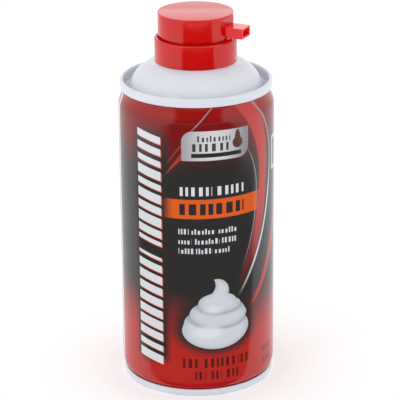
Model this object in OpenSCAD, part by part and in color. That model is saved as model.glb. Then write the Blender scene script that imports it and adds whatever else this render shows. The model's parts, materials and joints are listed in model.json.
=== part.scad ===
// Shaving foam can: a welded tinplate aerosol with necked-in ends, a one-inch
// valve and a snap-on actuator with a square foam spout.
// Millimetres, +Z up, origin on the can's axis in the plane that it stands on.
// The front of the printed label faces -Y.

/* [Can] */
// Outside diameter of the can body
body_d = 66; // [55:1:76]
// Height of the can over both double seams
can_h = 133.3; // [100:0.1:200]
// Tinplate thickness of the body
body_t = 0.22; // [0.18:0.01:0.26]
// Tinplate thickness of the dome and the bottom end
end_t = 0.34; // [0.28:0.01:0.38]
// How far the outside of the double seams stands inside the body
seam_inset = 0.75; // [0.3:0.05:1.5]
// Height of the double seam round the dome
top_seam_h = 3.75; // [3:0.05:3.9]
// Height of the double seam round the bottom end
bottom_seam_h = 2.95; // [2.8:0.05:3.6]
// Height of the stretch in which the body narrows to the top seam
top_neck_h = 7.9; // [6:0.1:9]
// Height of the stretch in which the body narrows to the bottom seam
bottom_neck_h = 5; // [4:0.1:8]
// Depth of the groove between the top seam and the dome
sink_depth = 4.9; // [4:0.1:6]
// Radius of the dome's curved flank
dome_r = 17.5; // [16.5:0.5:20]
// Height of the dome's curl above the top seam
dome_h = 12.7; // [12:0.1:14]
// Depth of the hollow under the can, at its centre
hollow_h = 11; // [9:0.5:14]

/* [Valve] */
// Inside diameter of the opening in the dome
opening_d = 25.4; // [25:0.1:26]
// Outside diameter of the dome's curl
curl_d = 30.96; // [30.5:0.02:31.5]
// Sheet thickness of the mounting cup
cup_t = 0.28; // [0.24:0.01:0.34]
// Thickness of the gasket under the mounting cup's curl
cup_gasket_t = 0.35; // [0.3:0.01:0.4]
// Depth of the mounting cup below its own curl
cup_depth = 8.9; // [8:0.1:10]
// Outside diameter of the cup's raised centre
pedestal_d = 12; // [11.6:0.1:13]
// Diameter of the valve stem
stem_d = 4; // [3.6:0.1:4.4]
// Diameter of the passage up the stem
stem_bore_d = 2.2; // [1.8:0.1:2.6]
// Thickness of the stem gasket
gasket_t = 1.2; // [1:0.05:1.5]
// Travel of the stem and the button
travel = 1.5; // [1:0.1:2]
// Wire diameter of the valve spring
wire_d = 0.5; // [0.4:0.05:0.6]
// Number of the spring's turns
spring_turns = 7; // [5:1:9]
// Outside diameter of the dip tube
dip_od = 5; // [4.8:0.1:5.6]
// Inside diameter of the dip tube
dip_id = 4; // [3.6:0.1:4.2]

/* [Actuator] */
// Direction of the spout about the can's axis, from +X
cap_turn = -26; // [-180:1:180]
// Outside diameter of the collar
collar_d = 34.8; // [34.6:0.1:38]
// Height of the collar
collar_h = 10.2; // [10:0.1:12]
// Outside diameter of the button
button_d = 31.8; // [30:0.1:32]
// Height of the button
button_h = 9.45; // [9:0.05:12]
// Space left between the spout and the collar when the button is down
press_gap = 0.25; // [0.15:0.05:1.5]
// Wall thickness of the collar and the button
wall = 1.1; // [0.9:0.05:1.3]
// Width of the spout
spout_w = 7.6; // [6:0.1:9]
// Height of the spout
spout_h = 4.4; // [3.6:0.05:4.6]
// Reach of the spout from the can's axis
spout_reach = 23.25; // [20:0.25:30]
// Wall thickness round the spout's outlet
spout_wall = 0.75; // [0.6:0.05:0.9]

/* [Hidden] */
$fn = 96;

PRINT_RED = "firebrick";
WHITE_LACQUER = "lavender";
CAP_RED = "red";
TINPLATE = "silver";
SEAL_GREY = "dimgray";
NATURAL = "ivory";

// Clearances
film = 0.02;          // sealing film between the layers of a seam
touch = 0.01;         // between pieces that bear on each other
running = 0.04;       // stem in its gasket
slide_gap = 0.25;     // between moulded pieces that slide
snap_gap = 0.2;       // collar round the mounting cup and over the dome

// Double seam: its five layers from the outside in, as radii of their middles
seam_r = body_d / 2 - seam_inset;
outer_wall_r = seam_r - end_t / 2;
body_hook_r = outer_wall_r - end_t / 2 - film - body_t / 2;
cover_hook_r = body_hook_r - body_t / 2 - film - end_t / 2;
neck_r = cover_hook_r - end_t / 2 - film - body_t / 2;
chuck_wall_r = neck_r - body_t / 2 - film - end_t / 2;
roll_r = (outer_wall_r - chuck_wall_r) / 2;
fold_r = (body_hook_r - neck_r) / 2;
roll_steps = 9;       // odd, so that the seam has a flat to stand on
compound_gap = 0.3;
roll_v = roll_r * cos(90 / roll_steps) + end_t / 2;
body_fold_v = roll_v + compound_gap;
hook_lap = 0.3;       // how far each hook stops short of the other's fold

// Body
body_mid_r = (body_d - body_t) / 2;
neck_curve_r = 0.5;
neck_drop = 0.12;     // from the seam's edge to the neck's bend
// Each neck: its height, the angle at which it leaves the seam, and where its
// curve's two handles lie, as shares of its height.
TOP_NECK = [top_neck_h, 86, 0.48, 0.58];
BOTTOM_NECK = [bottom_neck_h, 25, 0.18, 0.45];

// Dome
sink_r = 1.2;         // bend at the foot of the groove
sink_c = [chuck_wall_r - sink_r, can_h - sink_depth + end_t / 2 + sink_r];
flank_mid_r = dome_r - end_t / 2;
curl_mid_r = (curl_d / 2 - opening_d / 2 - end_t) / 2;
curl_c_r = (curl_d / 2 + opening_d / 2) / 2;
curl_top_z = can_h + dome_h;
curl_c_z = curl_top_z - end_t / 2 - curl_mid_r;
throat_r = 1.2;       // bend between the dome's flank and its throat
throat_wall_r = opening_d / 2 + end_t / 2;
throat_drop = 1.9;    // from the curl's centre to the bend's centre
throat_c = [throat_wall_r + throat_r, curl_c_z - throat_drop];
// The flank's circle touches the bend in the groove and the bend in the throat.
span = throat_c - sink_c;
span_len = norm(span);
to_sink = flank_mid_r + sink_r;
to_throat = flank_mid_r + throat_r;
corner = acos((to_sink * to_sink + span_len * span_len - to_throat * to_throat)
    / (2 * to_sink * span_len));
flank_turn = atan2(span[1], span[0]) + corner;
flank_c = sink_c + to_sink * [cos(flank_turn), sin(flank_turn)];
flank_a0 = flank_turn - 180;
flank_a1 = atan2(throat_c[1] - flank_c[1], throat_c[0] - flank_c[0]);
// Height of the flank's outside at a radius
function dome_top_z(r) = flank_c[1] + sqrt(pow(dome_r, 2) - pow(r - flank_c[0], 2));

// Mounting cup and its gasket
cup_curl_r = curl_mid_r + end_t / 2 + cup_gasket_t + cup_t / 2;
cup_top_z = curl_c_z + cup_curl_r + cup_t / 2;
cup_wall_r = curl_c_r - cup_curl_r;
cup_floor_z = cup_top_z - cup_depth + cup_t / 2;
clinch_z = throat_c[1] - 1.7;
clinch_out = 0.75;
cup_corner_r = 0.8;
pedestal_r = pedestal_d / 2 - cup_t / 2;
pedestal_top_z = cup_top_z - 1.3;
gasket_top_z = pedestal_top_z - cup_t;
seat_z = gasket_top_z - gasket_t;

// Valve
flange_h = 2.4;
flange_r = pedestal_r - cup_t / 2 - touch;
gasket_r = pedestal_r - cup_corner_r;
flange_z = seat_z - flange_h;
crimp_z = flange_z - 0.95;
housing_r = 4.2;
crimp_r = housing_r + cup_t / 2 + 0.5;
chamber_r = 3.3;
chamber_floor_z = seat_z - 11.3;
housing_floor_t = 2;
tail_z = chamber_floor_z - housing_floor_t;
tail_h = 8;
tail_bore_r = 1.2;
stem_hole_r = stem_d / 2 + 0.9;
shoulder_r = chamber_r - 0.35;
shoulder_z = seat_z - touch;
shoulder_h = 2.2;
stem_guide_h = 2.6;
stem_guide_r = 1.6;
spring_r = stem_guide_r + wire_d / 2 + 0.4;
spring_top_z = shoulder_z - shoulder_h;
orifice_r = 0.5;

// Dip tube: straight under the housing, then bent towards the can's corner
dip_straight = 16;
dip_top_z = tail_z - 0.4;
dip_wall_gap = 4;     // between the tube's end and the body
dip_floor_gap = 5;    // from the groove in the bottom to the tube's end
dip_side = body_d / 2 - body_t - dip_wall_gap - dip_od / 2;
dip_fall = dip_top_z - dip_straight - sink_depth - dip_floor_gap;
dip_bend_r = (dip_fall * dip_fall + dip_side * dip_side) / (2 * dip_side);
dip_angle = 2 * atan(dip_side / dip_fall);
dip_turn = 200;       // the way the tube leans, about the can's axis

// Actuator heights
collar_z = dome_top_z(collar_d / 2) + snap_gap;
collar_top_z = collar_z + collar_h;
spout_z = collar_top_z + travel + press_gap;
button_z = spout_z - 0.6;
button_top_z = button_z + button_h;
collar_r = collar_d / 2;
button_r = button_d / 2;
collar_bore_r = collar_r - wall;
bead_r = 0.45;
ledge_z = cup_top_z + 0.05;
ledge_h = 0.8;
web_t = 4.4;
ledge_gap = 0.4;      // left between the ledge and the skirt when the button is down
skirt_z = ledge_z + ledge_h + travel + ledge_gap;
web_z = skirt_z;
lug_top_z = web_z + 1.2;
post_r = spout_w / 2;
ledge_bore_r = post_r + 1.2;
lug_r = 12.4;         // how far out the lugs stand
post_z = pedestal_top_z + travel + 0.8;
stem_top_z = spout_z - 1;
post_top_z = spout_z + spout_h + 0.9;
spigot_r = 2.6;
spigot_h = 1.6;
plate_t = 1.2;
boss_r = spigot_r + 1.4;
window_gap = 0.25;
skirt_r = button_r - 0.8;
skirt_t = 0.9;
skirt_step = [1.2, 0.4]; // how far up the wall the step between wall and skirt ends and starts
pocket_side = 1.85;
pocket_depth = 1.05;

// A circular stretch of n steps from angle a0 to a1
function arc(c, r, a0, a1, n) = [
    for (i = [0:n]) c + r * [cos(a0 + (a1 - a0) * i / n), sin(a0 + (a1 - a0) * i / n)]
];
// A cubic curve of n steps
function curve(p, n) = [
    for (i = [0:n]) let (t = i / n, u = 1 - t)
        u * u * u * p[0] + 3 * u * u * t * p[1] + 3 * u * t * t * p[2] + t * t * t * p[3]
];
// One path from several stretches, without doubled points
function joined(stretches) = let (all = [for (s = stretches) each s]) [
    for (i = [0:len(all) - 1]) if (i == 0 || norm(all[i] - all[i - 1]) > 0.001) all[i]
];
// The outline of a sheet of thickness t whose middle runs along a path
function sheet(path, t) = let (
    last = len(path) - 1,
    along = [for (i = [0:last - 1]) (path[i + 1] - path[i]) / norm(path[i + 1] - path[i])],
    side = [for (a = along) [-a[1], a[0]]],
    mitre = [
        for (i = [0:last]) let (a = side[max(i - 1, 0)], b = side[min(i, last - 1)])
            (a + b) / (1 + a * b)
    ]
) concat(
    [for (i = [0:last]) path[i] + mitre[i] * t / 2],
    [for (i = [last:-1:0]) path[i] - mitre[i] * t / 2]
);
// Points given from the bottom seam's foot, as they lie at the top seam
function flipped(path) = [for (p = path) [p[0], can_h - p[1]]];
function reversed(path) = [for (i = [len(path) - 1:-1:0]) path[i]];

// Middle height of the fold of the end's hook, in a seam of height seam_h
function cover_fold_v(seam_h) = seam_h - end_t / 2 - fold_r;
// The end's half of a double seam, from the tip of its hook to the chuck wall
function seam_end_path(seam_h) = joined([
    [[cover_hook_r, body_fold_v + hook_lap]],
    arc([body_hook_r, cover_fold_v(seam_h)], fold_r, 180, 0, 8),
    arc([cover_hook_r, roll_v], roll_r, 0, -180, roll_steps)
]);
// The body's half, from the tip of its hook to the straight wall
function body_half_path(seam_h, neck) = let (
    lean = neck[1],
    neck_v = seam_h + neck_drop,
    foot = [neck_r + neck_curve_r * (1 - sin(lean)), neck_v + neck_curve_r * cos(lean)]
) joined([
    [[body_hook_r, cover_fold_v(seam_h) - film]],
    arc([cover_hook_r, body_fold_v], fold_r, 0, -180, 8),
    arc([neck_r + neck_curve_r, neck_v], neck_curve_r, 180, 90 + lean, 4),
    curve([
        foot,
        foot + neck[2] * neck[0] * [cos(lean), sin(lean)],
        [body_mid_r, seam_h + neck[3] * neck[0]],
        [body_mid_r, seam_h + neck[0]]
    ], 12)
]);

module turned(outline) {
    rotate_extrude() polygon(outline);
}

module can_body() {
    color(PRINT_RED)
    turned(sheet(joined([
        body_half_path(bottom_seam_h, BOTTOM_NECK),
        reversed(flipped(body_half_path(top_seam_h, TOP_NECK)))
    ]), body_t));
}

module top_dome() {
    color(WHITE_LACQUER)
    turned(sheet(joined([
        flipped(seam_end_path(top_seam_h)),
        arc(sink_c, sink_r, 0, flank_a0 - 180, 12),
        arc(flank_c, flank_mid_r, flank_a0, flank_a1, 20),
        arc(throat_c, throat_r, flank_a1 - 180, -180, 6),
        arc([curl_c_r, curl_c_z], curl_mid_r, 180, -140, 20)
    ]), end_t));
}

module bottom_end() {
    bend_r = 1.5;
    bend_c = [chuck_wall_r - bend_r, sink_depth - bend_r];
    // The ball's circle holds the bend's circle, touches it and peaks on the axis.
    rise = hollow_h + end_t / 2 - bend_c[1];
    ball_r = (pow(bend_c[0], 2) + pow(rise, 2) - pow(bend_r, 2)) / (2 * (rise - bend_r));
    ball_c = [0, bend_c[1] + rise - ball_r];
    ball_a = atan2(bend_c[1] - ball_c[1], bend_c[0]);
    steps = 16;
    crown = arc(ball_c, ball_r, ball_a, 89, steps);
    color(WHITE_LACQUER)
    turned(sheet(joined([
        seam_end_path(bottom_seam_h),
        arc(bend_c, bend_r, 0, ball_a, 6),
        crown,
        [[0, crown[steps][1]]]
    ]), end_t));
}

// Sealing compound in the seam, between the end's roll and the body's fold
module seam_compound(at_top) {
    r = fold_r + body_t / 2 + film / 2;
    ring = concat(
        arc([cover_hook_r, roll_v], r, -10, -170, 10),
        arc([cover_hook_r, body_fold_v], r, -160, -20, 10)
    );
    color(SEAL_GREY)
    turned(at_top ? flipped(ring) : ring);
}

module mounting_cup() {
    floor_r = cup_wall_r - 0.1;
    hold = [
        [floor_r - cup_corner_r, cup_floor_z + cup_corner_r],
        [pedestal_r + cup_corner_r, cup_floor_z + cup_corner_r],
        [pedestal_r - cup_corner_r, pedestal_top_z - cup_t / 2 - cup_corner_r]
    ];
    color(TINPLATE)
    turned(sheet(joined([
        arc([curl_c_r, curl_c_z], cup_curl_r, -48, 180, 24),
        curve([
            [cup_wall_r, throat_c[1] + 0.2],
            [cup_wall_r, throat_c[1] - 0.7],
            [cup_wall_r + clinch_out, clinch_z + 0.9],
            [cup_wall_r + clinch_out, clinch_z]
        ], 6),
        curve([
            [cup_wall_r + clinch_out, clinch_z],
            [cup_wall_r + clinch_out, clinch_z - 0.8],
            [floor_r, clinch_z - 0.6],
            [floor_r, clinch_z - 1.5]
        ], 6),
        arc(hold[0], cup_corner_r, 0, -90, 5),
        arc(hold[1], cup_corner_r, -90, -180, 5),
        curve([
            [pedestal_r, crimp_z - 1.1],
            [pedestal_r, crimp_z - 0.5],
            [crimp_r, crimp_z - 0.5],
            [crimp_r, crimp_z]
        ], 5),
        curve([
            [crimp_r, crimp_z],
            [crimp_r, crimp_z + 0.45],
            [pedestal_r, crimp_z + 0.3],
            [pedestal_r, crimp_z + 0.8]
        ], 5),
        arc(hold[2], cup_corner_r, 0, 90, 5),
        [[stem_hole_r, pedestal_top_z - cup_t / 2]]
    ]), cup_t));
}

module cup_gasket() {
    r = curl_mid_r + end_t / 2 + cup_gasket_t / 2;
    color(SEAL_GREY)
    turned(sheet(joined([
        arc([curl_c_r, curl_c_z], r, 10, 180, 18),
        [[curl_c_r - r, throat_c[1] + 0.4]]
    ]), cup_gasket_t - 2 * touch));
}

module valve_housing() {
    slots = 4;
    color(NATURAL)
    difference() {
        union() {
            translate([0, 0, flange_z]) cylinder(r = flange_r, h = flange_h - touch);
            translate([0, 0, tail_z]) cylinder(r = housing_r, h = flange_z - tail_z + 0.1);
            translate([0, 0, tail_z - tail_h]) cylinder(d = dip_id - 2 * touch, h = tail_h + 0.1);
        }
        translate([0, 0, chamber_floor_z]) cylinder(r = chamber_r, h = 20);
        translate([0, 0, tail_z - tail_h - 1]) cylinder(r = tail_bore_r, h = 20);
        // filling slots round the flange
        for (i = [0:slots - 1])
            rotate([0, 0, i * 360 / slots])
            translate([housing_r + 0.2, -0.75, flange_z + 0.8]) cube([3, 1.5, 1]);
    }
}

module stem_gasket() {
    color(SEAL_GREY)
    translate([0, 0, seat_z])
    difference() {
        cylinder(r = gasket_r, h = gasket_t - touch);
        translate([0, 0, -1]) cylinder(d = stem_d + 2 * running, h = gasket_t + 2);
    }
}

module valve_stem() {
    bore_z = seat_z + gasket_t / 2 - orifice_r - 0.1;
    cup_rim_h = 0.4;
    color(NATURAL)
    difference() {
        union() {
            translate([0, 0, shoulder_z - 0.1]) cylinder(d = stem_d, h = stem_top_z - shoulder_z + 0.1);
            translate([0, 0, shoulder_z - shoulder_h]) cylinder(r = shoulder_r, h = shoulder_h);
            translate([0, 0, shoulder_z - shoulder_h - stem_guide_h])
                cylinder(r = stem_guide_r, h = stem_guide_h + 0.1);
        }
        translate([0, 0, bore_z]) cylinder(d = stem_bore_d, h = 20);
        // groove behind the lip that seals on the gasket
        translate([0, 0, shoulder_z - cup_rim_h])
        difference() {
            cylinder(r = shoulder_r - 0.3, h = 1);
            translate([0, 0, -1]) cylinder(d = stem_d, h = 3);
        }
        translate([0, 0, seat_z + gasket_t / 2])
            rotate([90, 0, 0]) cylinder(r = orifice_r, h = stem_d + 2, center = true);
    }
}

// Rings of a round wire along a path, skinned into one solid
module wire(points, r, sides) {
    last = len(points) - 1;
    rings = [
        for (i = [0:last]) let (
            ahead = points[min(i + 1, last)] - points[max(i - 1, 0)],
            t = ahead / norm(ahead),
            out = [points[i][0], points[i][1], 0] / norm([points[i][0], points[i][1], 0]),
            up = cross(t, out)
        ) each [for (k = [0:sides - 1]) points[i] + r * (cos(360 * k / sides) * out + sin(360 * k / sides) * up)]
    ];
    walls = [
        for (i = [0:last - 1], k = [0:sides - 1]) let (a = i * sides, b = a + sides, n = (k + 1) % sides)
            each [[a + k, b + k, b + n], [a + k, b + n, a + n]]
    ];
    caps = [
        [for (k = [0:sides - 1]) k],
        [for (k = [sides - 1:-1:0]) last * sides + k]
    ];
    polyhedron(rings, concat(walls, caps), convexity = 8);
}

// The spring's height at turn t: a closed turn lies flat at each end.
function coil_z(t) = let (
    low = chamber_floor_z + wire_d / 2 + touch,
    high = spring_top_z - wire_d / 2 - touch,
    lead = wire_d * 1.04
) t < 1 ? low + t * lead
    : t > spring_turns - 1 ? high - (spring_turns - t) * lead
    : low + lead + (t - 1) / (spring_turns - 2) * (high - low - 2 * lead);

module valve_spring() {
    steps = 16;
    color(TINPLATE)
    wire([
        for (i = [0:spring_turns * steps]) let (t = i / steps)
            [spring_r * cos(360 * t), spring_r * sin(360 * t), coil_z(t)]
    ], wire_d / 2, 8);
}

module dip_tube() {
    color(NATURAL)
    rotate([0, 0, dip_turn]) {
        translate([0, 0, dip_top_z - dip_straight])
        difference() {
            cylinder(d = dip_od, h = dip_straight);
            translate([0, 0, -1]) cylinder(d = dip_id, h = dip_straight + 2);
        }
        translate([dip_bend_r, 0, dip_top_z - dip_straight])
            rotate([-90, 0, 0]) mirror([1, 0, 0])
            rotate_extrude(angle = dip_angle, $fn = 400)
            translate([dip_bend_r, 0])
            difference() {
                circle(d = dip_od);
                circle(d = dip_id);
            }
    }
}

module actuator_collar() {
    round_r = 0.9;
    bead_c = [collar_bore_r - 0.1, curl_c_z - 1.65];
    foot_z = dome_top_z(collar_bore_r) + snap_gap;
    lip_r = button_r + slide_gap;
    lug = [1.2, 1.2];
    color(CAP_RED)
    rotate([0, 0, cap_turn])
    union() {
        turned(joined([
            [[collar_bore_r, foot_z], [collar_r, collar_z]],
            arc([collar_r - round_r, collar_top_z - round_r], round_r, 0, 90, 5),
            [
                [lip_r + 0.2, collar_top_z],
                [lip_r, collar_top_z - 0.2],
                [lip_r, ledge_z + ledge_h],
                [ledge_bore_r, ledge_z + ledge_h],
                [ledge_bore_r, ledge_z],
                [collar_bore_r, ledge_z]
            ],
            arc(bead_c, bead_r, 90, 270, 8)
        ]));
        // two lugs that keep the spout's web from turning
        for (s = [-1, 1])
            translate([
                lug_r,
                s > 0 ? web_t / 2 + slide_gap : -web_t / 2 - slide_gap - lug[1],
                ledge_z + ledge_h - 0.1
            ])
            cube([lug[0], lug[1], lug_top_z - ledge_z - ledge_h + 0.1]);
    }
}

module foam_spout() {
    duct_h = spout_h - 2 * spout_wall;
    mouth = spout_w - 2 * spout_wall;
    throat = stem_bore_d;
    color(CAP_RED)
    rotate([0, 0, cap_turn])
    difference() {
        union() {
            translate([0, 0, post_z]) cylinder(r = post_r, h = post_top_z - post_z);
            translate([0, 0, post_top_z - 0.1]) cylinder(r = spigot_r, h = spigot_h + 0.1);
            translate([0, -spout_w / 2, spout_z]) cube([spout_reach, spout_w, spout_h]);
            translate([0, -web_t / 2, web_z]) cube([button_r, web_t, spout_z - web_z + 0.1]);
        }
        // socket for the stem, with a lead-in
        translate([0, 0, post_z - 1]) cylinder(d = stem_d, h = stem_top_z - post_z + 1);
        translate([0, 0, post_z - 0.01]) cylinder(r1 = stem_d / 2 + 0.5, r2 = stem_d / 2, h = 0.8);
        translate([0, 0, stem_top_z - 0.1]) cylinder(d = stem_bore_d, h = spout_z + spout_wall - stem_top_z + 0.2);
        // duct that widens towards the outlet
        translate([0, 0, spout_z + spout_wall])
        linear_extrude(duct_h)
        polygon([
            [-throat / 2, -throat / 2], [post_r, -throat / 2], [spout_reach - 6, -mouth / 2],
            [spout_reach + 1, -mouth / 2], [spout_reach + 1, mouth / 2],
            [spout_reach - 6, mouth / 2], [post_r, throat / 2], [-throat / 2, throat / 2]
        ]);
    }
}

module actuator_button() {
    edge_r = 0.35;
    inner_r = button_r - wall;
    plate_z = button_top_z - plate_t;
    window_w = spout_w + 2 * window_gap;
    window_top = spout_z + spout_h + window_gap;
    pocket_w = spout_w + 2 * pocket_side;
    pocket_x = button_r - pocket_depth;
    pocket_z = [button_z + 2.4, button_top_z - 1];
    rib_h = 1.5;
    rib_t = 1;
    color(CAP_RED)
    rotate([0, 0, cap_turn])
    difference() {
        union() {
            turned(joined([
                [
                    [0, plate_z],
                    [inner_r, plate_z],
                    [inner_r, button_z + skirt_step[0]],
                    [skirt_r - skirt_t, button_z + skirt_step[1]],
                    [skirt_r - skirt_t, skirt_z],
                    [skirt_r, skirt_z],
                    [skirt_r, button_z],
                    [button_r, button_z]
                ],
                arc([button_r - edge_r, button_top_z - edge_r], edge_r, 0, 90, 4),
                [[0, button_top_z]]
            ]));
            // wall behind the pocket
            intersection() {
                translate([pocket_x - wall, -pocket_w / 2 - 1, pocket_z[0] - 1])
                    cube([wall + 2, pocket_w + 2, plate_z - pocket_z[0] + 1.1]);
                translate([0, 0, button_z]) cylinder(r = button_r - wall / 2, h = button_h);
            }
            // boss for the spout's spigot, and ribs under the plate
            translate([0, 0, post_top_z + touch]) cylinder(r = boss_r, h = plate_z - post_top_z);
            for (a = [90:60:270])
                rotate([0, 0, a])
                translate([boss_r - 0.5, -rib_t / 2, plate_z - rib_h])
                cube([inner_r - boss_r + 1, rib_t, rib_h + 0.1]);
        }
        translate([0, 0, post_top_z - 1]) cylinder(r = spigot_r, h = spigot_h + 1.2);
        // window for the spout, open down to the skirt's foot
        translate([post_r + 2, -window_w / 2, skirt_z - 1])
            cube([button_r, window_w, window_top - skirt_z + 1]);
        translate([pocket_x, -pocket_w / 2, pocket_z[0]])
            cube([button_r, pocket_w, pocket_z[1] - pocket_z[0]]);
    }
}

can_body();
top_dome();
bottom_end();
seam_compound(true);  // top_seam_compound
seam_compound(false);  // bottom_seam_compound
mounting_cup();
cup_gasket();
valve_housing();
stem_gasket();
valve_stem();
valve_spring();
dip_tube();
actuator_collar();
foam_spout();
actuator_button();
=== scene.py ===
"""Looks of the shaving foam can: print, lacquer, tinplate and moulded plastic round the CAD frame."""
import json
import math

import bmesh
import bpy
from mathutils import Matrix, Vector


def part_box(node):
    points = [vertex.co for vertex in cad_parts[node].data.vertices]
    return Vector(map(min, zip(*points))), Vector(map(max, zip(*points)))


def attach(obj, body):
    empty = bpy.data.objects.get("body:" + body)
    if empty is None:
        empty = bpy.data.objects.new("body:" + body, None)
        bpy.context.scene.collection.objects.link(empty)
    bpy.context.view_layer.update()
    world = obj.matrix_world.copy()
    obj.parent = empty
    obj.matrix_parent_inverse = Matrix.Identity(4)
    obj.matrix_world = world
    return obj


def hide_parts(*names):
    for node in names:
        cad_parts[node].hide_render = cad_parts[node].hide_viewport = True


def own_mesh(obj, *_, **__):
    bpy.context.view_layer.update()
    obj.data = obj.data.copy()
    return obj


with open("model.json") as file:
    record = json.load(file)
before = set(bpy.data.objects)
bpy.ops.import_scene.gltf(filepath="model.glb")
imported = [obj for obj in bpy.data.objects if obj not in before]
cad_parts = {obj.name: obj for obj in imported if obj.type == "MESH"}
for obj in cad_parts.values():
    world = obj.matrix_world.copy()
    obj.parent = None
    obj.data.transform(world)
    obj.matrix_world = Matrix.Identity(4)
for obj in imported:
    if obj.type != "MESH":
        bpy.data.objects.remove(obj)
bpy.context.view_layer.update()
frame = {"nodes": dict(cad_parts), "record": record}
nodes = frame["nodes"]

MM = 0.001
BODY_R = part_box("can_body")[1].x / MM

# ---------------------------------------------------------------- camera, floor and light

LENS_MM = 191.3
SENSOR_MM = 36
CAMERA_DISTANCE = 0.9151
CAMERA_ELEVATION = math.radians(20.28)
CAMERA_PAN = math.radians(0.08)
CAMERA_ROLL = math.radians(-0.506)
AIM_HEIGHT = 0.07782
NEAREST_SEEN = 0.05

FLOOR_SIDE = 6.0
FLOOR_WHITE = (0.93, 0.93, 0.93)
FLOOR_GLOW = 0.14
CARD_BLACK = (0.01, 0.01, 0.01)
CARD_Z = 0.0003


def add_camera():
    data = bpy.data.cameras.new("camera")
    data.lens = LENS_MM
    data.sensor_width = SENSOR_MM
    data.clip_start = NEAREST_SEEN
    camera = bpy.data.objects.new("camera", data)
    bpy.context.scene.collection.objects.link(camera)
    back = Vector((0, -math.cos(CAMERA_ELEVATION), math.sin(CAMERA_ELEVATION)))
    right = Vector((1, 0, 0))
    up = back.cross(right)
    turn = Matrix((right, up, back)).transposed()
    turn = turn @ Matrix.Rotation(-CAMERA_PAN, 3, "Y") @ Matrix.Rotation(CAMERA_ROLL, 3, "Z")
    place = Vector((0, 0, AIM_HEIGHT)) + back * CAMERA_DISTANCE
    camera.matrix_world = Matrix.Translation(place) @ turn.to_4x4()
    bpy.context.scene.camera = camera


def add_softbox(name, place, aim, width, height, power):
    data = bpy.data.lights.new(name, "AREA")
    data.shape = "RECTANGLE"
    data.size = width
    data.size_y = height
    data.energy = power
    light = bpy.data.objects.new(name, data)
    bpy.context.scene.collection.objects.link(light)
    light.location = place
    light.rotation_euler = (Vector(aim) - Vector(place)).to_track_quat("-Z", "Y").to_euler()


def add_sheet(name, points, colour, glow=0.0):
    """A flat matt sheet of the studio, which isn't part of the object."""
    mesh = bpy.data.meshes.new(name)
    mesh.from_pydata(points, [], [range(len(points))])
    sheet = bpy.data.objects.new(name, mesh)
    bpy.context.scene.collection.objects.link(sheet)
    paint = bpy.data.materials.new(name + "_paint")
    paint.use_nodes = True
    shader = paint.node_tree.nodes["Principled BSDF"]
    shader.inputs["Base Color"].default_value = (*colour, 1)
    shader.inputs["Roughness"].default_value = 0.9
    shader.inputs["Specular IOR Level"].default_value = 0.0
    shader.inputs["Emission Color"].default_value = (1, 1, 1, 1)
    shader.inputs["Emission Strength"].default_value = glow
    mesh.materials.append(paint)
    return sheet


def add_black_card(name, points):
    """A black sheet that shows only in the gloss of the can."""
    card = add_sheet(name, points, CARD_BLACK)
    card.visible_camera = False
    card.visible_diffuse = False
    card.visible_shadow = False
    card.visible_transmission = False


def add_studio():
    scene = bpy.context.scene
    scene.view_settings.view_transform = "Standard"
    scene.world = bpy.data.worlds.new("studio")
    scene.world.use_nodes = True
    sky = scene.world.node_tree.nodes["Background"]
    sky.inputs["Color"].default_value = (1, 1, 1, 1)
    sky.inputs["Strength"].default_value = 1.0
    add_softbox("key", place=(-0.7, -0.75, 0.75), aim=(0, 0, 0.12), width=0.14, height=0.10, power=0.8)
    add_softbox("back", place=(0, 1.4, 0.68), aim=(0, 0, 0.16), width=1.0, height=0.4, power=0.9)
    corners = [(-1, -1), (1, -1), (1, 1), (-1, 1)]
    add_sheet("floor", [(FLOOR_SIDE * x, FLOOR_SIDE * y, 0) for x, y in corners], FLOOR_WHITE, FLOOR_GLOW)
    # One card lies on the floor in front and keeps the middle of the print deep.
    near_edge = [(-0.32, 0.03), (-0.05, -0.03), (0.05, -0.03), (0.33, 0.0)]
    far_edge = [(0.38, -0.31), (1.38, -1.2), (-0.94, -1.2), (-0.32, -0.41)]
    add_black_card("card", [(x, y, CARD_Z) for x, y in near_edge + far_edge])
    # The other stands far in front and does the same for the neck under the top seam.
    left, right, away, low, high = -0.8, 1.0, -1.3, 0.05, 1.0
    add_black_card("screen", [(left, away, low), (right, away, low), (right, away, high), (left, away, high)])


# ---------------------------------------------------------------- fields: sums made of shader nodes


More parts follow.
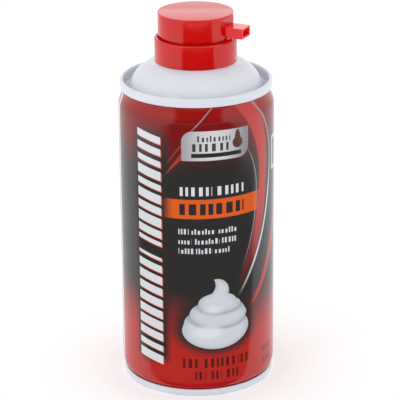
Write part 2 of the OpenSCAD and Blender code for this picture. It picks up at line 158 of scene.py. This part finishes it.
class Field:
    """A number that varies over a surface. Sums on it add maths nodes to its shader."""

    def __init__(self, tree, socket):
        self.tree = tree
        self.socket = socket

    def maths(self, operation, *others, clamp=False):
        node = self.tree.nodes.new("ShaderNodeMath")
        node.operation = operation
        node.use_clamp = clamp
        for socket, value in zip(node.inputs, (self, *others)):
            if isinstance(value, Field):
                self.tree.links.new(value.socket, socket)
            else:
                socket.default_value = value
        return Field(self.tree, node.outputs[0])

    def __add__(self, other):
        return self.maths("ADD", other)

    def __radd__(self, other):
        return self.maths("ADD", other)

    def __sub__(self, other):
        return self.maths("SUBTRACT", other)

    def __rsub__(self, other):
        return self.maths("MULTIPLY_ADD", -1.0, other)

    def __mul__(self, other):
        return self.maths("MULTIPLY", other)

    def __rmul__(self, other):
        return self.maths("MULTIPLY", other)

    def __truediv__(self, other):
        return self.maths("DIVIDE", other)

    def __neg__(self):
        return self.maths("MULTIPLY", -1.0)

    def __abs__(self):
        return self.maths("ABSOLUTE")

    def min(self, other):
        return self.maths("MINIMUM", other)

    def max(self, other):
        return self.maths("MAXIMUM", other)

    def above(self, level):
        return self.maths("GREATER_THAN", level)

    def below(self, level):
        return self.maths("LESS_THAN", level)

    def floor(self):
        return self.maths("FLOOR")

    def fract(self):
        return self.maths("FRACT")

    def sin(self):
        return self.maths("SINE")

    def sqrt(self):
        return self.maths("SQRT")

    def white_noise(self):
        """A number from 0 to 1 that any change of this one makes jump."""
        node = self.tree.nodes.new("ShaderNodeTexWhiteNoise")
        node.noise_dimensions = "1D"
        self.tree.links.new(self.socket, node.inputs["W"])
        return Field(self.tree, node.outputs["Value"])

    def ramp(self, low, high):
        """0 at low, 1 at high, with a smooth rise. high may be below low."""
        node = self.tree.nodes.new("ShaderNodeMapRange")
        node.interpolation_type = "SMOOTHSTEP"
        flip = high < low
        self.tree.links.new(self.socket, node.inputs["Value"])
        node.inputs["From Min"].default_value = min(low, high)
        node.inputs["From Max"].default_value = max(low, high)
        node.inputs["To Min"].default_value = 1.0 if flip else 0.0
        node.inputs["To Max"].default_value = 0.0 if flip else 1.0
        return Field(self.tree, node.outputs["Result"])

    def inside(self, soft=0.12):
        """Cover of the shape whose distance field this is: 1 inside, 0 outside, over an edge soft wide."""
        return self.maths("MULTIPLY_ADD", -1.0 / soft, 0.5, clamp=True)


def length(x, y):
    return (x * x + y * y).sqrt()


def band_field(offset, half):
    """Distance to a band that is half wide on each side of its middle line."""
    return abs(offset) - half


def box_field(x, y, x_range, y_range, corner=0.0):
    """Distance to a rectangle with rounded corners."""
    half_x = (x_range[1] - x_range[0]) / 2
    half_y = (y_range[1] - y_range[0]) / 2
    over_x = band_field(x - (x_range[0] + x_range[1]) / 2, half_x - corner)
    over_y = band_field(y - (y_range[0] + y_range[1]) / 2, half_y - corner)
    return length(over_x.max(0.0), over_y.max(0.0)) + over_x.max(over_y).min(0.0) - corner


def oval_field(x, y, centre, radii):
    """Roughly the distance to an ellipse."""
    reach = length((x - centre[0]) / radii[0], (y - centre[1]) / radii[1])
    return (reach - 1.0) * min(radii)


def disc_field(x, y, centre, radius):
    return length(x - centre[0], y - centre[1]) - radius


def bow(y, peak_x, peak_y, bend_up, bend_down):
    """A line's x at height y: it peaks at peak_y and falls away on both sides."""
    above = (y - peak_y).max(0.0)
    below = (peak_y - y).max(0.0)
    return peak_x - above * above * bend_up - below * below * bend_down


# ---------------------------------------------------------------- materials


class Material:
    """A Principled material whose constants sit on the shader's own sockets."""

    def __init__(self, name, colour, roughness, **constants):
        self.data = bpy.data.materials.new(name)
        self.data.use_nodes = True
        self.tree = self.data.node_tree
        self.shader = self.tree.nodes["Principled BSDF"]
        self.shader.inputs["Base Color"].default_value = (*colour, 1)
        self.shader.inputs["Roughness"].default_value = roughness
        for socket, value in constants.items():
            self.shader.inputs[socket.replace("_", " ")].default_value = value
        self.place = self.tree.nodes.new("ShaderNodeTexCoord").outputs["Object"]

    def field(self, socket):
        return Field(self.tree, socket)

    def stretched(self, scale):
        """The place on the object, times scale, which is one number or one each for X, Y and Z."""
        node = self.tree.nodes.new("ShaderNodeVectorMath")
        node.operation = "MULTIPLY"
        self.tree.links.new(self.place, node.inputs[0])
        node.inputs[1].default_value = scale if isinstance(scale, tuple) else (scale, scale, scale)
        return node.outputs[0]

    def noise(self, cycles, detail):
        """Noise from 0 to 1, with so many cycles a metre along X, Y and Z."""
        node = self.tree.nodes.new("ShaderNodeTexNoise")
        node.inputs["Scale"].default_value = 1.0
        node.inputs["Detail"].default_value = detail
        self.tree.links.new(self.stretched(cycles), node.inputs["Vector"])
        return self.field(node.outputs["Fac"])

    def mix(self, cover, under, over):
        """The colour over, laid on the colour under where cover is 1."""
        node = self.tree.nodes.new("ShaderNodeMix")
        node.data_type = "RGBA"
        self.feed(node.inputs["Factor"], cover)
        self.feed(node.inputs["A"], under)
        self.feed(node.inputs["B"], over)
        return node.outputs["Result"]

    def feed(self, socket, value):
        if isinstance(value, Field):
            self.tree.links.new(value.socket, socket)
        elif isinstance(value, bpy.types.NodeSocket):
            self.tree.links.new(value, socket)
        else:
            socket.default_value = (*value, 1)

    def colour(self, value):
        self.feed(self.shader.inputs["Base Color"], value)

    def roughness(self, pattern, low, high):
        self.feed(self.shader.inputs["Roughness"], pattern * (high - low) + low)

    def bump(self, height, distance):
        node = self.tree.nodes.new("ShaderNodeBump")
        node.inputs["Distance"].default_value = distance
        self.feed(node.inputs["Height"], height)
        self.tree.links.new(node.outputs["Normal"], self.shader.inputs["Normal"])


INK_BLACK = (0.030, 0.027, 0.027)
INK_RED = (0.46, 0.021, 0.014)
INK_TOP_RED = (0.20, 0.004, 0.003)
INK_BRIGHT_RED = (0.48, 0.034, 0.026)
INK_NECK_RED = (0.32, 0.003, 0.002)
INK_FOOT_RED = (0.42, 0.006, 0.006)
INK_DARK_RED = (0.10, 0.012, 0.010)
INK_BROWN = (0.10, 0.035, 0.022)
INK_ORANGE = (0.70, 0.105, 0.012)
INK_WHITE = (0.66, 0.69, 0.73)
INK_SILVER = (0.26, 0.27, 0.285)
INK_GREY = (0.055, 0.055, 0.06)
INK_FOAM = (0.60, 0.63, 0.68)
INK_SHADE = (0.30, 0.33, 0.39)
INK_GLEAM = (0.78, 0.80, 0.84)
PLATE_DARK = (0.19, 0.19, 0.20)
PLATE_LIGHT = (0.66, 0.67, 0.69)
BARE_METAL = (0.60, 0.62, 0.64)


class Print:
    """The artwork round the can. x is the distance round the wall from the front, y the height, in mm."""

    def __init__(self, material):
        self.m = material
        split = material.tree.nodes.new("ShaderNodeSeparateXYZ")
        material.tree.links.new(material.stretched(1 / MM), split.inputs[0])
        across = material.field(split.outputs["X"])
        along = material.field(split.outputs["Y"])
        self.x = across.maths("ARCTAN2", -along) * BODY_R
        self.y = material.field(split.outputs["Z"])
        self.art = INK_BLACK

    def lay(self, cover, ink):
        self.art = self.m.mix(cover, self.art, ink)

    def ground(self):
        """Black in the middle, red towards both ends."""
        y = self.y
        # A whole number of waves round the can meets itself at the back.
        waves_round, sway_by = 2, 2.0
        sway = (self.x * (waves_round / BODY_R) + 0.6).sin() * sway_by
        for height, first, full, ink in (
            (y + sway, 50.0, 24.0, INK_RED),
            (y - sway, 99.0, 122.0, INK_TOP_RED),
            (y, 122.0, 126.5, INK_NECK_RED),
            (y, 6.6, 5.6, INK_FOOT_RED),
        ):
            self.lay(height.ramp(first, full), ink)

    def swooshes(self):
        x, y = self.x, self.y
        # A broad red bow runs down the right, with a silver line outside it and a thin one inside.
        outer = bow(y, peak_x=35.7, peak_y=101.0, bend_up=0.008, bend_down=0.0048)
        inner = bow(y, peak_x=30.0, peak_y=98.0, bend_up=0.013, bend_down=0.0056)
        broad = (x - outer).max(inner - x)
        fade = y.ramp(46.0, 72.0)
        glow = 0.55 + 0.45 * y.ramp(60.0, 88.0)
        self.lay(broad.inside(0.9) * fade * glow, INK_BRIGHT_RED)
        middle = bow(y, peak_x=39.0, peak_y=103.0, bend_up=0.0175, bend_down=0.0062)
        silver = band_field(x - middle, 0.55).inside(0.5) * y.ramp(40.0, 60.0)
        self.lay(silver, self.m.mix(y.ramp(104.0, 84.0), INK_SILVER, INK_WHITE))
        middle = bow(y, peak_x=28.2, peak_y=92.0, bend_up=0.016, bend_down=0.0069)
        thin = band_field(x - middle, 0.25).inside(0.4)
        self.lay(thin * y.ramp(54.0, 70.0) * y.ramp(113.0, 104.0), INK_SILVER)
        # A low swoosh climbs to the right from beside the foam, and widens.
        start_x, start_y, slope, bend = 22.0, 37.0, 0.72, 0.035
        run = (x - start_x).max(0.0)
        middle = start_y + run * slope + run * run * bend
        climb = band_field(y - middle, run * 0.20 + 0.2).inside(1.2)
        self.lay(climb * x.ramp(21.5, 26.0) * x.ramp(60.0, 40.0), INK_BRIGHT_RED)
        # On the left, two tails run down from the plate, and narrow.
        run = (-4.0 - x).max(0.0)
        for start_y, slope, bend, half, narrowing, end in (
            (111.2, 0.95, 0.022, 1.75, 0.16, -15.2),
            (116.2, 1.02, 0.030, 0.55, 0.03, -14.0),
        ):
            middle = start_y - run * slope - run * run * bend
            tail = band_field(y - middle, half - run * narrowing)
            self.lay(tail.inside(0.5) * x.ramp(end, end + 3.0) * x.ramp(2.0, -3.0), INK_BRIGHT_RED)
        # A silver line climbs from the plate to the neck.
        line = band_field(y - (122.25 + x * 1.02), 0.35)
        self.lay(line.inside(0.4) * x.ramp(-5.0, 1.0), INK_SILVER)

    def halo(self, shape, reach):
        self.lay(shape.ramp(reach, -0.5), INK_BLACK)

    def blocks(self, along, across, start, end, tall, pitch, width, seed, spaces=(), ragged=0.0):
        """Distance to a row of plain blocks, which mean nothing. A share ragged is cut off some of them."""
        wavy = along + (along * (1.7 / pitch) + seed).sin() * (pitch * 0.13)
        cell = (wavy / pitch).floor()
        local = (wavy / pitch).fract() * pitch - pitch / 2
        height = (cell + seed).white_noise().above(0.45) * (-tall * ragged) + tall
        mark = band_field(local, width / 2).max(-across).max(across - height)
        mark = mark.max(start - along).max(along - end)
        for left, right in spaces:
            mark = mark.max(-band_field(along - (left + right) / 2, (right - left) / 2))
        return mark

    def row(self, ink, low, **sizes):
        """Lays a row of blocks, whose feet are at the height low."""
        self.lay(self.blocks(self.x, self.y - low, **sizes).inside(), ink)

    def title(self):
        """Bold slanted bars of uneven width, up the left of the front, in white on an orange edge."""
        foot, top = -15.6, -27.6
        start, end, space, half_space = 14.4, 118.4, 66.4, 2.6
        pitch, lean, least, spread = 5.2, 0.2, 2.6, 1.5
        x, y = self.x, self.y
        panel = box_field(x, y, (top + 0.5, foot + 1.0), (16.0, 117.0), 3.0)
        self.halo(panel, 4.2)
        for shift, ink in ((0.45, INK_ORANGE), (0.0, INK_WHITE)):
            across = x - ((foot + top) / 2 + shift)
            along = y + shift + across * lean
            cell = ((along - start) / pitch).floor()
            local = ((along - start) / pitch).fract() * pitch - pitch / 2
            width = (cell + 3.0).white_noise() * spread + least
            mark = band_field(local, width / 2).max(band_field(across, (foot - top) / 2))
            mark = mark.max(start - along).max(along - end).max(-band_field(along - space, half_space))
            self.lay(mark.inside(0.14), ink)

    def plate(self):
        """A silver plate with two round corners and a painted sheen, two rows of blocks, a bar and a plain
        drop.
        """
        x, y = self.x, self.y
        left, right, low, high = -6.4, 23.2, 107.0, 119.8
        corner = 4.6
        sharp = box_field(x, y, (left, right), (low, high), 0.3)
        top_left = x.below(left + corner) * y.above(high - corner)
        bottom_right = x.above(right - corner) * y.below(low + corner)
        round_a = disc_field(x, y, (left + corner, high - corner), corner).inside()
        round_b = disc_field(x, y, (right - corner, low + corner), corner).inside()
        cover = sharp.inside() * (1.0 - top_left * (1.0 - round_a)) * (1.0 - bottom_right * (1.0 - round_b))
        grain = self.m.noise((60, 60, 4000), 2.0)
        # Painted reflection: the plate's grey runs light and dark along it and turns darker towards its right
        # end, with a fine grain mixed in.
        painted_sheen = ((x * 0.155 + 0.45).sin() * 0.5 + 0.5) * (1.0 - x.ramp(15.0, right - 0.2) * 0.75)
        self.lay(cover, self.m.mix(painted_sheen * 0.85 + grain * 0.15, PLATE_DARK, PLATE_LIGHT))
        self.row(INK_GREY, 115.2, start=0.2, end=14.4, tall=2.6, pitch=1.7, width=0.75, seed=1.0, ragged=0.25)
        self.row(INK_GREY, 111.0, start=-2.2, end=14.0, tall=3.4, pitch=2.9, width=1.3, seed=5.0)
        drop = disc_field(x, y, (17.8, 113.8), 2.4).min(oval_field(x, y, (17.8, 115.6), (1.3, 3.7)))
        self.lay(drop.inside(), INK_BROWN)
        self.lay(box_field(x, y, (-2.3, 19.6), (108.4, 110.2), 0.1).inside(), INK_BLACK)

    def words(self):
        """The rows of blocks under the plate, the orange band, and the dark rows near the foot."""
        x, y = self.x, self.y
        sizes = {"tall": 3.9, "pitch": 2.75, "width": 1.35}
        self.row(INK_WHITE, 91.6, start=-8.2, end=20.7, seed=3.0, spaces=[(6.3, 8.3)], **sizes)
        band = band_field(y - 85.75, 4.25).inside(0.3)
        self.lay(band * x.ramp(-15.5, -9.5) * x.ramp(31.5, 26.0), INK_ORANGE)
        self.row(INK_BLACK, 83.2, start=-8.0, end=20.8, tall=4.9, pitch=3.9, width=2.5, seed=4.0)
        small = {"tall": 2.4, "pitch": 1.45, "width": 0.75, "ragged": 0.3}
        for low, end, seed, gaps in (
            (74.6, 17.2, 2.0, [(-3.6, -2.5), (7.4, 8.5)]),
            (70.2, 17.3, 13.0, [(-2.4, -1.2), (9.4, 10.4)]),
            (65.9, 13.8, 24.0, [(-1.6, -0.6), (6.2, 7.2)]),
        ):
            self.row(INK_WHITE, low, start=-8.0, end=end, seed=seed, spaces=gaps, **small)
        for low, start, end, tall, seed, gaps in (
            (13.6, -6.8, 24.0, 4.2, 31.0, [(0.6, 2.2), (16.6, 17.8)]),
            (8.0, -1.4, 18.8, 3.9, 7.0, [(3.2, 4.4), (10.0, 11.4)]),
        ):
            sizes = {"start": start, "end": end, "tall": tall, "pitch": 2.35, "width": 1.15}
            self.row(INK_DARK_RED, low, seed=seed, spaces=gaps, **sizes)
        for low in (14.2, 9.0):
            self.row(INK_DARK_RED, low, start=32.2, end=41.6, tall=3.0, pitch=1.6, width=0.9, seed=low)

    def foam(self):
        """A dollop of foam in three tiers with a hooked tip."""
        x, y = self.x, self.y

        def lump(centre_a, radii_a, centre_b, radii_b):
            return oval_field(x, y, centre_a, radii_a).min(oval_field(x, y, centre_b, radii_b))

        base = lump((8.2, 31.0), (15.0, 8.9), (7.6, 34.0), (13.6, 7.4))
        second = lump((8.8, 38.4), (12.3, 6.3), (11.5, 37.0), (10.6, 5.0))
        third = lump((8.6, 43.2), (8.4, 4.6), (11.5, 42.0), (7.4, 3.2))
        tip = disc_field(x, y, (8.0, 48.6), 5.5).max(-disc_field(x, y, (2.6, 51.4), 5.0))
        third = third.min(tip.max(44.0 - y))
        crease, rim, gleam = 0.8, 0.35, 0.6
        self.halo(base.min(second).min(third), 5.0)
        under = None
        for tier in (base, second, third):
            if under is not None:
                self.lay(tier.ramp(1.9, 0.1) * under.inside(0.2) * crease, INK_SHADE)
            self.lay(tier.inside(0.2), INK_FOAM)
            self.lay(tier.ramp(-2.2, 0.1) * tier.inside(0.2) * rim, INK_SHADE)
            under = tier
        light = lump((4.5, 30.0), (8.0, 4.0), (6.5, 40.0), (5.5, 2.6))
        self.lay(light.ramp(0.4, -2.4) * gleam, INK_GLEAM)

    def side_seam(self):
        """The bare strip along the weld."""
        self.weld = band_field(self.x + 45.5, 1.3)
        self.lay(self.weld.inside(0.3), BARE_METAL)

    def side_panel(self):
        """A small grey panel in a white frame, on the right."""
        x, y = self.x, self.y
        self.lay(box_field(x, y, (41.8, 49.0), (95.0, 110.0), 0.4).inside(), INK_WHITE)
        self.lay(box_field(x, y, (42.8, 48.2), (96.2, 108.8), 0.2).inside(), INK_GREY)

    def small_print(self, x_range, y_range, seed):
        """A column of rows of small blocks, in lumps as long as words, with ragged ends."""
        x, y = self.x, self.y
        pitch, lift, endless = 3.4, 0.8, 900.0
        row = (y / pitch).floor()
        up = (y / pitch).fract() * pitch - lift
        sizes = {"tall": 1.9, "pitch": 1.5, "width": 0.8, "ragged": 0.3}
        marks = self.blocks(x + row * 7.31, up, start=-endless, end=endless, seed=seed, **sizes)
        word, word_gap = 7.0, 0.49
        shifted = x + row * 4.7 + (x * 0.9 + row).sin() * 1.2
        marks = marks.max(word_gap - (shifted / word).fract() * word)
        ragged_end = (row + seed).white_noise() * -6.0 + x_range[1]
        marks = marks.max(x_range[0] - x).max(x - ragged_end).max(y_range[0] - y).max(y - y_range[1])
        self.lay(marks.inside(), INK_WHITE)

    def back(self):
        """The back of the can: small print, a panel of three plain signs and a rule."""
        x, y = self.x, self.y
        left, right = 54.0, 96.0
        self.small_print((left, right), (61.2, 102.0), seed=11.0)
        self.small_print((-96.0, -56.0), (34.0, 112.2), seed=23.0)
        panel = box_field(x, y, (left, right), (36.0, 56.0), 2.0)
        self.lay(band_field(panel + 0.3, 0.3).inside(), INK_WHITE)
        for place in (62.0, 75.0, 88.0):
            ring = band_field(disc_field(x, y, (place, 46.0), 4.6), 0.45)
            drop = disc_field(x, y, (place, 45.0), 1.7).min(oval_field(x, y, (place, 46.6), (0.9, 2.6)))
            self.lay(ring.min(drop).inside(), INK_WHITE)
        self.lay(box_field(x, y, (left, right), (104.6, 106.2), 0.2).inside(), INK_ORANGE)


def make_print():
    m = Material("print", INK_BLACK, 0.16)
    art = Print(m)
    art.ground()
    art.swooshes()
    art.plate()
    art.title()
    art.words()
    art.foam()
    art.side_seam()
    art.side_panel()
    art.back()
    m.colour(art.art)
    m.roughness(m.noise(120, 3.0), 0.13, 0.21)
    orange_peel = m.noise(900, 2.0)
    m.bump(orange_peel * 0.6 + art.weld.inside(1.6) * 0.4, 0.02 * MM)
    return m.data


def make_lacquer():
    m = Material("lacquer", (0.70, 0.73, 0.79), 0.22)
    m.colour(m.mix(m.noise(70, 3.0), (0.67, 0.705, 0.77), (0.71, 0.74, 0.80)))
    m.roughness(m.noise(150, 3.0), 0.16, 0.28)
    m.bump(m.noise(700, 2.0), 0.02 * MM)
    return m.data


def make_red_plastic(name, glow):
    """Light that soaks through the thin plastic is stood in for by a faint glow."""
    m = Material(
        name, (0.53, 0.004, 0.004), 0.22, Subsurface_Weight=0.6, Subsurface_Scale=4 * MM,
        Subsurface_Radius=(1.0, 0.1, 0.08), Emission_Color=(0.55, 0.004, 0.002, 1), Emission_Strength=glow,
    )
    m.colour(m.mix(m.noise(90, 3.0), (0.50, 0.003, 0.003), (0.56, 0.005, 0.005)))
    m.roughness(m.noise(400, 3.0), 0.08, 0.15)
    m.bump(m.noise(2600, 2.0), 0.01 * MM)
    return m.data


def make_tinplate():
    m = Material("tinplate", (0.62, 0.62, 0.63), 0.3, Metallic=1.0)
    m.colour(m.mix(m.noise((80, 80, 900), 3.0), (0.55, 0.55, 0.56), (0.68, 0.68, 0.69)))
    m.roughness(m.noise((60, 60, 1500), 3.0), 0.22, 0.42)
    m.bump(m.noise((60, 60, 3000), 2.0), 0.01 * MM)
    return m.data


def make_wire():
    m = Material("wire", (0.55, 0.55, 0.57), 0.3, Metallic=1.0)
    m.colour(m.mix(m.noise(500, 3.0), (0.48, 0.48, 0.50), (0.62, 0.62, 0.64)))
    m.roughness(m.noise(900, 3.0), 0.2, 0.4)
    return m.data


def make_rubber(name, dark, light):
    m = Material(name, dark, 0.7)
    m.colour(m.mix(m.noise(600, 4.0), dark, light))
    m.roughness(m.noise(900, 2.0), 0.6, 0.8)
    m.bump(m.noise(2500, 3.0), 0.02 * MM)
    return m.data


def make_natural(name, dark, light, rough):
    m = Material(name, dark, rough)
    m.colour(m.mix(m.noise(200, 3.0), dark, light))
    m.roughness(m.noise(700, 2.0), rough, rough + 0.15)
    m.bump(m.noise(1800, 2.0), 0.01 * MM)
    return m.data


# ---------------------------------------------------------------- pieces

SAME_POINT = 1e-6
CRISP_ANGLE = math.radians(32)
PLASTIC_GLOW = 0.11
SPOUT_GLOW = 0.3

slot_of = {part["node"]: part["material_slot"] for part in frame["record"]["subparts"]}
body_of = {n: body for body, names in frame["record"]["behaviour"]["bodies"].items() for n in names}
material_of = {
    "printed_tinplate": make_print(),
    "white_lacquer": make_lacquer(),
    "sealing_compound": make_rubber("sealing_compound", (0.13, 0.12, 0.11), (0.18, 0.17, 0.15)),
    "bare_tinplate": make_tinplate(),
    "valve_rubber": make_rubber("valve_rubber", (0.015, 0.015, 0.016), (0.03, 0.03, 0.03)),
    "natural_plastic": make_natural("natural_plastic", (0.68, 0.66, 0.58), (0.76, 0.74, 0.68), 0.35),
    "spring_steel": make_wire(),
    "tube_plastic": make_natural("tube_plastic", (0.74, 0.76, 0.77), (0.82, 0.83, 0.84), 0.28),
    "red_plastic": make_red_plastic("red_plastic", PLASTIC_GLOW),
}


def finished(name, body, material):
    """A copy of a CAD node with welded points, smooth bends and crisp corners, which stands for it."""
    mesh = nodes[name].data.copy()
    mesh.name = name + "_skin"
    work = bmesh.new()
    work.from_mesh(mesh)
    bmesh.ops.remove_doubles(work, verts=work.verts, dist=SAME_POINT)
    work.to_mesh(mesh)
    work.free()
    if "custom_normal" in mesh.attributes:
        mesh.attributes.remove(mesh.attributes["custom_normal"])
    mesh.shade_smooth()
    mesh.set_sharp_from_angle(angle=CRISP_ANGLE)
    piece = bpy.data.objects.new(name + "_skin", mesh)
    bpy.context.scene.collection.objects.link(piece)
    mesh.materials.clear()
    mesh.materials.append(material)
    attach(piece, body)
    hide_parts(name)
    return piece


add_camera()
add_studio()
skins = {name: finished(name, body_of[name], material_of[slot_of[name]]) for name in nodes}
# The spout is thin all round, so it gets a stronger painted glow for the light that soaks through it.
skins["foam_spout"].data.materials[0] = make_red_plastic("spout_plastic", SPOUT_GLOW)
# The spring gets a mesh of its own, and its foot and the button's travel are read off the button's joint.
press = next(j for j in frame["record"]["behaviour"]["joints"] if j["name"] == "button_press")
spring_foot = press["deforming_nodes"][0]["fixed_end_z_m"]
spring_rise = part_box("valve_spring")[1].z - spring_foot
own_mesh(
    skins["valve_spring"], "button_press", axis=(0, 0, 1), anchor=(0, 0, spring_foot),
    keep=1 - press["range_m"][1] / spring_rise,
)
